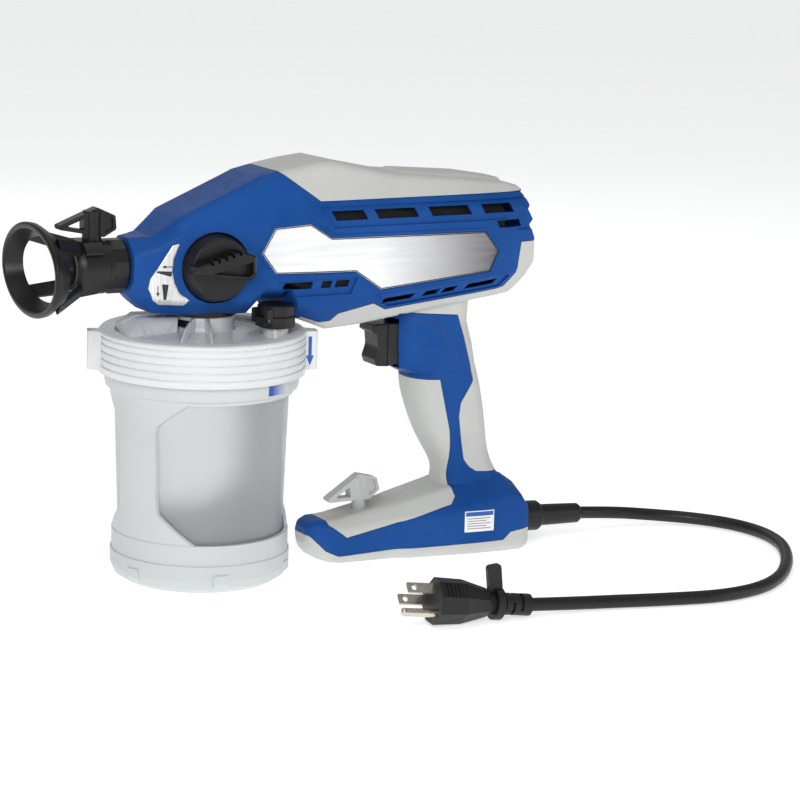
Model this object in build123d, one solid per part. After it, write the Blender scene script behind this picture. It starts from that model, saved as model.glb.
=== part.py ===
from build123d import *
from functools import lru_cache
import math
import os

# Handheld airless paint sprayer. Millimetres. X runs to the rear (it sprays towards -X),
# Z is up, and -Y is the side with the prime knob. The origin is the centre of the cup's
# foot, on the surface that the cup and the handle's base stand on.

# ---- driving dimensions ----------------------------------------------------------------
WALL = 2.5                 # moulded shell thickness
SEAM = 0.35                # gap between neighbouring mouldings
SPRAY_Z = 186.0            # height of the spray axis
CUP_R = 52.5               # largest radius of the cup's foot
CUP_SILL_Z = 29.0          # top of the foot ring, bottom of the windows
CUP_RING_Z = 113.0         # top of the windows
LEG_ANGLE = 18.5           # direction of the support's two legs
COLLAR_R = 60.0
COLLAR_Z0 = 122.0
COLLAR_Z1 = 146.6
KNOB_X = -5.0
KNOB_R = 20.0
KNOB_Y = -25.0             # plane of the knob's base
KNOB_FACE_Y = -34.1
NUT_X0 = -64.0
NUT_X1 = -52.0
NUT_R = 15.8
GUARD_R = 15.5
GUARD_X0 = -83.5
RING_X0 = -108.0           # front edge of the guard's oval rim
RING_X1 = -98.0
RING_RY = 41.5
RING_RZ = 27.0
TIP_X = -70.0
TIP_R = 5.5
TIP_HANDLE_Z = 203.0
SPARE_X = 107.5
SPARE_Z = 24.0
SPARE_LEAN = 11.0          # the spare tip stands square to the sloping tongue
SIDE_R = 31.5              # half width of the housing's side panels
MOTOR_Z = 180.0
MOTOR_R = 22.0
MODULE = 0.8
PINION_TEETH = 12
GEAR_TEETH = 40
GEAR_X0 = 84.0
GEAR_X1 = 91.0
GEAR_Z = MOTOR_Z + MODULE * (PINION_TEETH + GEAR_TEETH) / 2
CAP_X = 33.5               # vent cap on the lid
CAP_Y = -27.5
CAP_R = 11.0
HINGE_X = -12.2            # cap hinge, from the cap's centre
HINGE_Z = 155.4
BOOT_R = 6.3
STRAP_X = -39.6            # place of the strap on the plug's boot
TRIGGER_HALF = 8.8
SWASH_R = 17.0
SWASH_TILT = 6.0
PISTON_END = 66.9          # rounded end that follows the swash plate
CORD_R = 3.85
PLUG_FACE = (71.4, -151.4, 14.0)
PLUG_TURN = 174.8          # heading of the plug's blades, seen from above
PLUG_PITCH = 7.1
PLUG_ROLL = 45.0

# Route of the power cord, from the strain relief to the plug's boot.
CORD_ROUTE = [
    (264.0, 0.0, 11.2), (290.0, 0.6, 8.9), (318.0, -5.0, 5.8), (342.0, -19.0, 4.3),
    (357.0, -40.0, 3.95), (361.5, -66.0, 3.9), (356.0, -91.0, 3.9), (344.0, -113.0, 3.9),
    (328.0, -135.0, 3.9), (307.0, -157.0, 3.9), (281.0, -173.0, 3.9), (250.0, -178.0, 3.9),
    (216.0, -171.0, 3.9), (184.0, -162.5, 4.0), (157.0, -158.5, 4.8), (130.95, -156.85, 6.6),
]

BELLY_SKIN = 1.2           # the belly band overlaps the shells
REAR_GRIP_TOP = 138.0      # above this height the grip lies over the shells too
SCREWS = [(-19, 206), (22, 218), (84, 167), (189, 189), (163.5, 128), (163, 70), (140, 18), (199.5, 25)]

# Cross-sections along X: (x, top half width, top z, side half width, top of the side,
# bottom of the side, bottom half width, bottom z).
BODY = [
    (-51.0, 7.0, 202.5, 16.5, 193.0, 179.0, 7.0, 169.5),
    (-46.0, 9.0, 202.8, 18.5, 196.0, 172.0, 9.0, 165.0),
    (-38.0, 14.0, 203.5, 22.0, 199.0, 168.0, 13.0, 159.2),
    (-22.0, 21.0, 215.5, 25.3, 207.0, 166.0, 17.0, 157.5),
    (18.0, 22.0, 232.6, 29.2, 210.0, 165.0, 19.0, 157.0),
    (26.0, 22.0, 236.2, 29.8, 210.6, 171.0, 19.0, 165.0),
    (42.0, 22.0, 239.8, 30.7, 211.5, 171.0, 19.0, 165.0),
    (46.0, 22.0, 240.5, 30.9, 211.7, 162.0, 19.5, 154.0),
    (56.0, 22.0, 242.3, 31.4, 212.0, 160.0, 20.0, 150.5),
    (70.0, 22.0, 244.0, SIDE_R, 212.4, 160.0, 20.5, 144.6),
    (90.0, 21.5, 239.6, SIDE_R, 213.0, 162.0, 21.0, 146.0),
    (116.0, 21.0, 234.4, SIDE_R, 214.0, 165.0, 21.0, 149.4),
    (167.0, 20.0, 229.6, SIDE_R, 215.0, 170.0, 21.0, 156.0),
    (190.0, 19.0, 227.0, 30.0, 215.0, 174.0, 20.0, 158.6),
    (199.0, 17.5, 224.5, 28.5, 214.0, 176.0, 19.0, 160.0),
    (208.0, 15.0, 219.0, 26.5, 211.0, 180.0, 17.0, 163.0),
]
BASE = [
    (66.5, 5.0, 22.0, 7.0, 19.5, 15.5, 5.0, 12.5),
    (69.0, 7.5, 24.6, 10.5, 21.5, 11.0, 7.5, 7.5),
    (74.0, 9.0, 26.4, 13.5, 22.5, 7.5, 10.5, 2.6),
    (80.0, 10.5, 26.0, 16.0, 22.0, 5.0, 13.0, 0.6),
    (87.0, 11.0, 26.5, 17.6, 21.5, 4.0, 15.0, 0.0),
    (122.0, 13.0, 32.8, 20.0, 24.5, 4.0, 17.5, 0.0),
    (132.0, 14.0, 35.0, 23.5, 25.0, 4.0, 21.0, 0.0),
    (152.0, 15.0, 39.5, 26.5, 26.5, 4.0, 24.0, 0.0),
    (176.0, 17.0, 44.5, 29.5, 33.0, 4.0, 27.0, 0.0),
    (196.0, 16.0, 46.5, 30.5, 36.5, 4.0, 28.0, 0.0),
    (205.0, 14.0, 40.5, 30.0, 33.0, 4.0, 27.5, 0.0),
    (209.5, 12.5, 32.0, 28.5, 28.0, 5.0, 25.5, 1.5),
]
# Horizontal sections: (z, front x, rear x, half width). The head holds the trigger.
HANDLE = [
    (118.0, 133.4, 179.5, 16.0), (108.0, 134.5, 182.5, 16.2), (92.0, 138.0, 186.3, 16.2),
    (78.0, 143.5, 188.6, 16.2), (65.0, 150.5, 190.5, 16.4), (54.0, 157.0, 193.8, 17.0),
    (44.0, 158.5, 199.5, 18.0), (34.0, 155.0, 203.0, 18.5),
]
HANDLE_HEAD = [
    (112.5, 130.5, 180.6, 16.6), (116.0, 124.5, 180.0, 16.9), (128.0, 123.5, 177.5, 17.1),
    (142.0, 123.5, 173.3, 17.5), (160.0, 124.0, 174.0, 18.0),
]

# Seam outlines on the side, as (x, z).
TOP_COVER = [(36, 239.5), (60.5, 221.6), (206, 221.6), (215, 221.6), (215, 262), (36, 262)]
BELLY = [
    (52, 138), (52, 153.6), (64, 149.6), (70, 150.4), (74, 155), (96, 160), (106, 155.3),
    (183, 163), (188, 164.4), (194, 173), (197, 191.5), (214, 191.5), (214, 138),
]
GRIP_PANEL = [
    (118, 115), (118, 151.5), (161, 147.5), (166, 134.6), (172, 115.5), (174.5, 106), (166, 92.6),
    (165, 84), (167, 69.7), (169, 57.3), (172.7, 52.5), (177.5, 49.6), (193.5, 48), (216, 48),
    (216, 10), (150, 10), (150, 30.6), (157.2, 31.8), (161, 36), (160.4, 51.5), (158.5, 76.4), (150.8, 107.9),
    (126, 109.2), (118, 110),
]
TONGUE = [
    (78, 36), (79, 24.0), (82.5, 21.5), (89, 16.4), (126, 24), (157.2, 31.8), (161, 36),
    (160.4, 51.5), (158.5, 76.4), (150.8, 107.9), (126, 109.2), (110, 109.4), (110, 60),
]
SKID = [
    (50, -5), (50, 22), (60, 19.6), (68, 17.4), (76.5, 8.4), (84, 4.9), (120, 6.6), (191, 7.8), (196, 12.5),
    (216, 14.6), (216, -5),
]
BADGE = [
    (23, 193), (31, 207.2), (53, 208.8), (67, 200), (170, 199.2), (180, 187.5), (174, 175.4),
    (100, 168.5), (83, 180), (32, 181),
]
UPPER_TROUGH = [(60, 216.8), (68, 205.8), (187, 206), (194, 199), (212, 199), (212, 218.3), (60, 218.3)]
FRONT_TROUGH = [(33, 176.6), (40, 167), (80, 167), (84.5, 176.6)]
RATING_LABEL = [(164.5, 14.6), (184.0, 14.6), (184.0, 27.6), (164.5, 27.6)]
REAR_TROUGH = [(96, 165.5), (106.5, 157.2), (184, 164.6), (189.5, 171.5), (181, 173.8), (104, 166.6)]


# ---- helpers -----------------------------------------------------------------------------
def ring_section(x, th, tz, sh, st, sl, bh, bz, inset=0.0, top_inset=None):
    """One closed, rounded eight-cornered section across the X axis."""
    top_inset = inset if top_inset is None else top_inset
    th = max(th - inset * 0.5, 2.0)
    sh = sh - inset
    bh = max(bh - inset * 0.5, 2.0)
    tz = tz - top_inset
    bz = bz + inset
    st = min(st - inset * 0.35, tz - 1.5)
    sl = sl + inset * 0.35
    pts = [(th, tz), (sh, st), (sh, sl), (bh, bz), (-bh, bz), (-sh, sl), (-sh, st), (-th, tz)]
    lengths = [math.dist(pts[i], pts[(i + 1) % 8]) for i in range(8)]
    radii = []
    for i in range(8):
        before = lengths[i - 1]
        after = lengths[i]
        a = Vector(*pts[i]) - Vector(*pts[i - 1])
        b = Vector(*pts[(i + 1) % 8]) - Vector(*pts[i])
        turn = math.radians(a.get_angle(b))
        room = 0.42 * min(before, after) / math.tan(turn / 2)
        radii.append(min(6.5, room))
    plane = Plane(origin=(x, 0, 0), x_dir=(0, 1, 0), z_dir=(1, 0, 0))
    return plane * make_face(FilletPolyline(*pts, radius=radii, close=True))


def hull_along_x(stations, inset=0.0, top_inset=None, first=None, last=None):
    """Ruled loft through the given sections, with its ends moved to first and last."""
    rows = [list(row) for row in stations]
    if first is not None:
        rows[0][0] = first
    if last is not None:
        rows[-1][0] = last
    return loft([ring_section(*row, inset=inset, top_inset=top_inset) for row in rows], ruled=True)


def handle_loft(inset=0.0):
    """Grip, lofted smoothly, and the head above it that carries the trigger."""
    faces = []
    for z, front, rear, half in HANDLE:
        faces.append(handle_section(z, front, rear, half, inset))
    grip = loft(faces)
    faces = []
    for k, (z, front, rear, half) in enumerate(HANDLE_HEAD):
        lift = inset if k < 2 else 0.0
        faces.append(handle_section(z + lift, front, rear, half, inset))
    return grip + loft(faces, ruled=True)


def handle_section(z, front, rear, half, inset):
    size_x = rear - front - 2 * inset
    size_y = 2 * (half - inset)
    return Plane.XY.offset(z) * Pos((front + rear) / 2, 0) * RectangleRounded(size_x, size_y, size_y / 2 - 3.0)


def prism(outline, y0=-60.0, y1=60.0, grow=0.0):
    """Side outline (x, z) extruded across Y."""
    face = make_face(Polyline(*outline, close=True))
    if grow:
        face = offset(face, amount=grow, kind=Kind.INTERSECTION)
    plane = Plane(origin=(0, y1, 0), x_dir=(1, 0, 0), z_dir=(0, -1, 0))
    return extrude(plane * face, amount=y1 - y0)


def block(x0, x1, y0, y1, z0, z1):
    return Pos((x0 + x1) / 2, (y0 + y1) / 2, (z0 + z1) / 2) * Box(x1 - x0, y1 - y0, z1 - z0)


def rod_x(x0, x1, y, z, radius):
    return Pos((x0 + x1) / 2, y, z) * Rot(0, 90, 0) * Cylinder(radius, x1 - x0)


def rod_y(y0, y1, x, z, radius):
    return Pos(x, (y0 + y1) / 2, z) * Rot(90, 0, 0) * Cylinder(radius, y1 - y0)


def rod_z(z0, z1, x, y, radius):
    return Pos(x, y, (z0 + z1) / 2) * Cylinder(radius, z1 - z0)


def turned(profile):
    """Solid of revolution about Z from an (r, z) outline."""
    return revolve(Plane.XZ * make_face(Polyline(*profile, close=True)), Axis.Z)


def turned_x(profile, y=0.0, z=SPRAY_Z):
    """Solid of revolution about the X direction from an (x, r) outline."""
    face = Plane.XZ * make_face(Polyline(*profile, close=True))
    return Pos(0, y, z) * revolve(face, Axis.X)


def biggest(shape):
    """The main solid of a cut, without slivers."""
    return max(shape.solids(), key=lambda s: s.volume)


def save(shape, name):
    export_step(shape, f"parts/{name}.step")


# ---- housing ----------------------------------------------------------------------------
def rear_teeth():
    """Material behind the louvred rear end, to be cut away."""
    line = [
        (230, 230), (198.5, 230), (198.5, 227.5), (206.5, 221.6), (199.5, 221), (204.5, 216), (204.5, 213.2),
        (202, 211), (206.2, 204.5), (203.5, 201.6), (207.2, 193.4), (207.2, 179.0), (203.5, 170.5),
        (194.5, 160.4), (194.5, 150), (230, 150),
    ]
    return prism(line)


def outer_shape():
    body = body_core(0.0) - rear_teeth()
    return body + handle_loft() + hull_along_x(BASE)


def under_belly():
    """Inner volume that the belly band lies on."""
    core = hull_along_x(BODY, inset=BELLY_SKIN, last=205.4)
    return core - Pos(-0.9, 0, 0) * rear_teeth()


def screw_drop(z):
    """How much deeper the screws sit in the slim handle and base."""
    return 0.0 if z > 150 else 7.0


def screw_bosses():
    """Tubular bosses between the two shells."""
    bosses = None
    for x, z in SCREWS:
        reach = 24.0 if z > 150 else 15.4
        boss = rod_y(-reach, reach, x, z, 4.2)
        bosses = boss if bosses is None else bosses + boss
    return bosses


@lru_cache
def inner_body():
    return hull_along_x(BODY, inset=WALL, first=-48.5, last=203.0)


def inner_shape():
    body = inner_body()
    body -= Pos(-1.8, 0, 0) * rear_teeth()
    base = hull_along_x(BASE[2:], inset=WALL, top_inset=7.0, first=73.0, last=207.0)
    return body + handle_loft(inset=WALL) + base


@lru_cache
def body_core(inset):
    """The upper housing's full volume, shrunk by inset."""
    return hull_along_x(BODY, inset=inset)


@lru_cache
def base_core(inset):
    """The base's full volume, shrunk by inset."""
    return hull_along_x(BASE, inset=inset)


def side_cut(outline, depth, side, grow=0.0, core=body_core):
    """Everything inside a side outline that lies outside the housing shrunk by depth."""
    y0, y1 = (15, 60) if side > 0 else (-60, -15)
    return prism(outline, y0=y0, y1=y1, grow=grow) - core(depth)


def side_plate(outline, front, back, side, core=body_core):
    """A thin plate in the side panel, from front to back below the surface."""
    y0, y1 = (15, 60) if side > 0 else (-60, -15)
    return biggest((prism(outline, y0=y0, y1=y1) & core(front)) - core(back))


def slot(x0, x1, z0, z1, rise=0.0, slant=3.0):
    """A leaning vent slot through both side walls."""
    return prism([(x0 + slant, z0), (x1 + slant, z0 + rise), (x1, z1 + rise), (x0, z1)])


def vent_cuts():
    cuts = []
    for x0, x1 in ((67, 88), (95, 122), (131, 158), (167, 188)):
        cuts.append(slot(x0, x1, 210.0, 215.6))
    cuts.append(slot(178, 195, 201.0, 205.5, slant=2.0))
    for x0, x1 in ((38, 56), (62, 68.5), (71, 80)):
        cuts.append(slot(x0, x1, 171.2, 175.2, slant=-1.5))
    for x0, x1 in ((104, 125), (132, 142), (145, 154), (161, 182)):
        z0 = 159.3 + (x0 - 104) * 0.095
        cuts.append(slot(x0, x1, z0, z0 + 3.4, rise=(x1 - x0) * 0.095, slant=-2.5))
    return cuts


def trough_cuts():
    """Shallow recesses round the vents, 1.2 mm deep, on both sides."""
    outlines = (UPPER_TROUGH, FRONT_TROUGH, REAR_TROUGH)
    return [side_cut(outline, 1.2, side) for outline in outlines for side in (-1, 1)]


def housing_openings():
    """Bores that the pump, knob, cup, trigger and cord pass through."""
    return [
        rod_x(-55, -40, 0, SPRAY_Z, 12.4),
        rod_z(150, 162, 0, 0, 19.8),
        rod_y(-40, -18, KNOB_X, SPRAY_Z, KNOB_R + 0.5),
        block(95, 128.5, -9.4, 9.4, 115.5, 145.5),
        rod_x(200, 214, 0, 13.5, 8.2),
    ]


def side_plates():
    """Flush badge plates and labels, each in its own shallow pocket."""
    plates = {}
    pockets = []
    for side, name in ((-1, "left_badge"), (1, "right_badge")):
        plates[name] = side_plate(BADGE, 0.15, 0.9, side)
        pockets.append(side_cut(BADGE, 0.95, side, grow=0.4))
    label = label_outline()
    plates["mode_label"] = side_plate(label, 0.1, 0.7, -1)
    pockets.append(side_cut(label, 0.75, -1, grow=0.25))
    plates["rating_label"] = side_plate(RATING_LABEL, 0.0, 0.5, -1, core=base_core)
    pockets.append(side_cut(RATING_LABEL, 0.55, -1, grow=0.2, core=base_core))
    return plates, pockets


def label_outline():
    """The mode label: a bulged triangle that follows the knob's rim."""
    pts = [
        (-26.5, 200.5), (-30.5, 199.5), (-42.5, 180.5), (-43.5, 175), (-40.5, 167.8), (-37, 165.2),
        (-23.5, 164.8), (-20.5, 168),
    ]
    rim = []
    for k in range(1, 6):
        a = math.radians(228 - k * 15)
        rim.append((KNOB_X + 25.5 * math.cos(a), SPRAY_Z + 25.5 * math.sin(a)))
    return pts + rim


def front_grip_piece(shell):
    """The soft front grip, with the long tongue and its trough."""
    grip = shell & prism(TONGUE)
    trough = prism([(82, 44), (83, 23.6), (111, 24.4), (147, 37.8), (152, 47)], y0=-8.5, y1=8.5)
    grip -= trough
    post = Pos(SPARE_X, 0, SPARE_Z) * Rot(0, -SPARE_LEAN, 0) * Pos(0, 0, -6.5) * Cylinder(6.4, 12.0)
    grip += post
    bore = Pos(SPARE_X, 0, SPARE_Z) * Rot(0, -SPARE_LEAN, 0) * Pos(0, 0, -5) * Cylinder(4.28, 40.0)
    return biggest(grip - bore)


def housing():
    outer = outer_shape()
    shell = outer - inner_shape()
    for cut in housing_openings():
        shell -= cut
    plates, pockets = side_plates()
    for name, plate in plates.items():
        save(plate, name)

    cover = shell & prism(TOP_COVER)
    raised = hull_along_x([
        (112.0, 8.0, 233.0, 12.0, 231.0, 228.0, 10.0, 227.0),
        (124.0, 12.5, 235.2, 17.5, 231.0, 228.0, 12.0, 227.0),
        (168.0, 12.0, 232.0, 17.0, 228.0, 226.5, 12.0, 226.0),
        (190.0, 10.0, 228.6, 14.0, 226.0, 224.2, 10.0, 224.0),
    ])
    cover += raised - inner_body()
    save(biggest(cover), "top_cover")

    panel = prism(GRIP_PANEL)
    skin = shell - under_belly() - handle_loft(inset=BELLY_SKIN)
    belly = (skin & prism(BELLY)) - panel
    rear_grip = shell - prism(BELLY) - prism(TOP_COVER) - panel - prism(TONGUE)
    rear_grip &= block(155, 230, -40, 40, 47.6, 158)
    save(biggest(belly + rear_grip), "rear_grip")
    save(front_grip_piece(shell), "front_grip")
    save(biggest(shell & prism(SKID)), "base_skid")

    panel_bed = prism(GRIP_PANEL, grow=-SEAM)
    blue = shell
    for outline in (TOP_COVER, TONGUE, SKID):
        blue -= prism(outline, grow=SEAM)
    blue -= (skin & prism(BELLY, grow=SEAM)) - panel_bed
    blue -= block(150, 230, -40, 40, 47.6, REAR_GRIP_TOP) - panel_bed
    blue += screw_bosses()
    for cut in pockets + trough_cuts() + vent_cuts():
        blue -= cut
    blue -= block(-60, 230, -0.12, 0.12, -5, 260)
    for x, z in SCREWS:
        blue -= rod_y(-11, 20, x, z, 1.95) + rod_y(18.1 - screw_drop(z), 60, x, z, 3.4)
    left = biggest(blue & block(-60, 230, -60, 0, -5, 260))
    right = biggest(blue & block(-60, 230, 0, 60, -5, 260))
    save(left, "left_shell")
    save(right, "right_shell")


# ---- spray head -------------------------------------------------------------------------
def outlet():
    """Threaded steel outlet tube on the front of the pump."""
    tube = turned_x([
        (-58.5, 3.0), (-58.5, 11.4), (-57.8, 12.0), (-49.0, 12.0), (-49.0, 11.0), (-34.2, 11.0), (-34.2, 3.0),
    ])
    save(tube, "outlet_tube")


def guard_nut():
    """Twelve-sided clamping nut with a round collar at its front."""
    flats = extrude(RegularPolygon(NUT_R, 12, rotation=15), NUT_X1 - NUT_X0 - 2)
    body = Pos(NUT_X0 + 2, 0, SPRAY_Z) * Rot(0, 90, 0) * flats
    rear = NUT_X1 - 2.2
    body &= turned_x([(NUT_X0, 0), (NUT_X0, NUT_R), (rear, NUT_R), (NUT_X1, NUT_R - 1.6), (NUT_X1, 0)])
    body += turned_x([(NUT_X0, 0), (NUT_X0, 15.0), (NUT_X0 + 2.3, 15.2), (NUT_X0 + 2.3, 0)])
    bore = rod_x(-70, -60, 0, SPRAY_Z, 10.8) + rod_x(-61, -50, 0, SPRAY_Z, 12.35)
    save(body - bore, "guard_nut")


def strut(y_ring, z_ring, y_body, z_body):
    """Flat bar from the guard's body to its oval rim."""
    ends = [
        (RING_X1 - 3.5, y_ring, z_ring, 8.0, 4.2), (-80.0, y_body, z_body, 9.0, 4.6), (-69.0, y_body, z_body, 6.0, 2.6),
    ]
    faces = []
    for x, y, z, wide, thick in ends:
        turn = math.degrees(math.atan2(z_ring, y_ring))
        plane = Plane(origin=(x, y, SPRAY_Z + z), x_dir=(0, 1, 0), z_dir=(1, 0, 0))
        faces.append(plane * Rot(0, 0, turn + 90) * RectangleRounded(wide, thick, thick * 0.42))
    return loft(faces, ruled=True)


def tip_guard():
    """Guard: tubular body, four struts and a wide oval rim."""
    rim_out = loft([oval(RING_X0, 0.0), oval(RING_X0 + 4, -0.6), oval(RING_X1, -5.0)], ruled=True)
    rim_in = loft([oval(RING_X0 - 0.1, -3.6), oval(RING_X0 + 4, -5.4), oval(RING_X1 + 0.1, -8.8)], ruled=True)
    guard = rim_out - rim_in
    lip = [e for e in guard.edges() if abs(e.center().X - RING_X0) < 0.2]
    guard = fillet(lip, 1.5)
    guard += turned_x([
        (GUARD_X0, 0), (GUARD_X0, 12.6), (-81.0, 14.4), (-78.0, GUARD_R), (-64.4, GUARD_R), (-64.4, 10.4),
        (-58.8, 10.4), (-58.8, 0),
    ])
    for sy, sz in ((1, 1), (-1, 1), (1, -1), (-1, -1)):
        guard += strut(sy * 27.0, sz * 17.6, sy * 8.2, sz * 11.6)
    saddle = block(-79.5, -68.5, -15.4, 15.4, SPRAY_Z + 9, SPRAY_Z + 15.4)
    guard += saddle & rod_x(-84, -66, 0, SPRAY_Z, 18.5)
    guard -= rod_z(150, 222, TIP_X, 0, TIP_R + 0.06)
    guard -= turned_x([(-90, 0), (-90, 13.5), (GUARD_X0, 10.2), (-76.5, 7.4), (-70, 7.4), (-70, 0)])
    guard -= rod_x(-71, -57, 0, SPRAY_Z, 7.6)
    save(biggest(guard), "tip_guard")
    seal = turned_x([(-61.5, 2.2), (-61.5, 7.3), (-59.0, 7.3), (-59.0, 2.2)])
    save(seal, "tip_seal")


def oval(x, grow):
    plane = Plane(origin=(x, 0, SPRAY_Z), x_dir=(0, 1, 0), z_dir=(1, 0, 0))
    return plane * Ellipse(RING_RY + grow, RING_RZ + grow)


def tip_parts(stem_r, low_z, flange_r):
    """Arrow-shaped tip handle and its stem, with the arrow's underside at z = 0."""
    arrow = [(-21.6, 7.4), (2.2, 17.0), (13.0, 12.0), (13.7, 4.2), (6.0, 0.0), (-20.6, 5.2)]
    face = make_face(FilletPolyline(*arrow, radius=[1.2, 1.6, 1.6, 1.6, 1.6, 0.6], close=True))
    plane = Plane(origin=(0, 3.6, 0), x_dir=(1, 0, 0), z_dir=(0, -1, 0))
    handle = extrude(plane * face, amount=7.2)
    window = make_face(Polyline((-15.6, 7.3), (-6.0, 10.9), (-6.0, 4.6), (-14.6, 6.3), close=True))
    handle -= extrude(Plane(origin=(0, 8, 0), x_dir=(1, 0, 0), z_dir=(0, -1, 0)) * window, amount=16)
    pocket_line = [(6.4, 13.0), (11.2, 11.0), (11.8, 5.0), (6.4, 2.2)]
    pocket = make_face(Polyline(*pocket_line, close=True))
    for y0, y1 in ((4.6, 2.4), (-2.4, -4.6)):
        plane = Plane(origin=(0, y0, 0), x_dir=(1, 0, 0), z_dir=(0, -1, 0))
        handle -= extrude(plane * pocket, amount=y0 - y1)
    handle += Pos(0, 0, 5.5) * Cylinder(min(stem_r, 5.2), 19.0)
    handle += Pos(0, 0, (low_z + 2) / 2) * Cylinder(stem_r, 2 - low_z)
    if flange_r:
        handle += Pos(0, 0, low_z + 1.3) * Cylinder(flange_r, 2.6)
    return handle


def spray_tips():
    """The fitted tip turns end for end in the guard. The spare stands on the base."""
    tip = Pos(TIP_X, 0, TIP_HANDLE_Z) * tip_parts(TIP_R, -4.0, 0)
    save(tip, "spray_tip")
    barrel = rod_z(171.5, TIP_HANDLE_Z - 4.02, TIP_X, 0, TIP_R)
    barrel -= rod_x(TIP_X - 7, TIP_X + 7, 0, SPRAY_Z, 1.1)
    barrel -= turned_x([(TIP_X - 7, 0), (TIP_X - 7, 4.0), (TIP_X - 2, 1.0), (TIP_X - 2, 0)])
    save(barrel, "tip_barrel")

    place = Pos(SPARE_X, 0, SPARE_Z) * Rot(0, -SPARE_LEAN, 0)
    spare = tip_parts(4.1, -8.6, 5.6)
    save(place * Pos(0, 0, 10.0) * spare, "spare_tip")
    shank = Pos(0, 0, -5.6) * Cylinder(4.2, 12.0)
    save(place * shank, "spare_barrel")


# ---- knob and pump ----------------------------------------------------------------------
def prime_knob():
    """Round knob with a ribbed, wedge-shaped lever."""
    depth = KNOB_Y - KNOB_FACE_Y
    cone = Pos(KNOB_X, (KNOB_Y + KNOB_FACE_Y) / 2, SPRAY_Z) * Rot(90, 0, 0) * Cone(KNOB_R, 17.8, depth)
    cone = fillet([e for e in cone.edges() if abs(e.center().Y - KNOB_FACE_Y) < 0.1], 0.8)
    wedge = [(-24.6, 184.6), (-24.6, 189.2), (3.6, 197.4), (12.4, 194.4), (12.6, 183.0), (9.0, 180.4)]
    face = make_face(FilletPolyline(*wedge, radius=[2.0, 2.0, 1.2, 1.2, 1.2, 1.2], close=True))
    plane = Plane(origin=(0, KNOB_FACE_Y + 1.0, 0), x_dir=(1, 0, 0), z_dir=(0, -1, 0))
    lever = extrude(plane * face, amount=11.0)
    lever &= block(-30, 20, KNOB_FACE_Y - 10.2, KNOB_FACE_Y + 2, 170, 210)
    lever = chamfer([e for e in lever.edges() if abs(e.center().Y - (KNOB_FACE_Y - 10.0)) < 0.3], 1.1)
    dish = make_face(Polyline((-15.0, 185.4), (10.2, 191.2), (10.4, 184.4), (7.6, 182.6), close=True))
    lever -= extrude(Plane(origin=(0, KNOB_FACE_Y - 5.0, 0), x_dir=(1, 0, 0), z_dir=(0, -1, 0)) * dish, amount=8)
    for k in range(6):
        groove = Pos(-15.5 + 4.4 * k, KNOB_FACE_Y - 5.6, 191.6 + 1.26 * k) * Rot(0, -16, 0) * Box(1.6, 9.6, 3.0)
        lever -= groove
    knob = cone + lever
    knob -= rod_y(KNOB_Y - 4, KNOB_Y + 1, KNOB_X, SPRAY_Z, 4.06)
    save(biggest(knob), "prime_knob")
    stem = rod_y(-28.9, -14.1, KNOB_X, SPRAY_Z, 4.0)
    save(stem, "prime_valve_stem")


def pump():
    """Pump block with its piston bore along X, and the fittings round it."""
    body = block(-34, 24, -15.5, 15.5, 168, 200)
    body = chamfer(body.edges().filter_by(Axis.X), 4.0)
    body += rod_z(161.0, 169.0, 0, 0, 15.0)
    body += rod_y(-24.4, -15.0, KNOB_X, SPRAY_Z, 15.0)
    body -= rod_y(-25, -14.0, KNOB_X, SPRAY_Z, 4.06)
    body -= rod_x(-37, -12, 0, SPRAY_Z, 3.0)
    body -= rod_x(-12.5, 25, 0, SPRAY_Z, 8.5)
    body -= rod_z(158, 180, 0, 0, 5.2)
    save(biggest(body), "pump_block")
    save(turned_x([(-12.4, 6.04), (-12.4, 8.5), (36, 8.5), (36, 10), (39, 10), (39, 6.04)]), "cylinder_sleeve")
    save(turned_x([(24.1, 8.6), (24.1, 12.5), (31, 12.5), (31, 8.6)]), "sleeve_nut")
    adapter = turned([
        (8.0, 148.6), (15.4, 148.6), (15.4, 155.6), (19.4, 155.6), (19.4, 160.9), (5.3, 160.9), (5.3, 152.5), (8.0, 152.5),
    ])
    for turn in (0, 180):
        lug = Rot(0, 0, 22 + turn) * block(14.6, 17.0, -4.2, 4.2, 149.4, 152.4)
        adapter += lug & rod_z(149.0, 153.0, 0, 0, 16.6)
    save(adapter, "cup_adapter")
    save(turned([(1.6, 153.0), (5.2, 153.0), (5.2, 172.0), (3.6, 172.0), (3.6, 158.0), (1.6, 156.0)]), "inlet_valve_seat")
    save(Pos(0, 0, 158.97) * Sphere(3.2), "inlet_ball")
    save(turned_x([
        (-10.0, 0), (-10.0, 6.0), (53.0, 6.0), (53.0, 9.0), (54.6, 9.0), (54.6, 6.0), (PISTON_END, 6.0), (PISTON_END, 0),
    ]), "pump_piston")
    guide = block(60.0, 63.0, -26.0, 26.0, 160.5, 226.0) & hull_along_x(BODY, inset=WALL + 0.4)
    guide -= rod_x(55, 70, 0, SPRAY_Z, 6.3)
    guide -= rod_x(55, 70, 0, GEAR_Z, 3.05)
    save(biggest(guide), "front_bulkhead")
    save(coil_spring(39.3, 52.9, 8.0, 0.7, 5), "piston_spring")


def coil_spring(x0, x1, radius, wire, turns):
    """Compression spring along X on the spray axis."""
    path = Helix(pitch=(x1 - x0 - 2 * wire) / turns, height=x1 - x0 - 2 * wire, radius=radius)
    start = Plane(origin=path @ 0, z_dir=path % 0)
    coil = sweep(start * Circle(wire), path=path)
    return Pos(x0 + wire, 0, SPRAY_Z) * Rot(0, 90, 0) * coil


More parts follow.
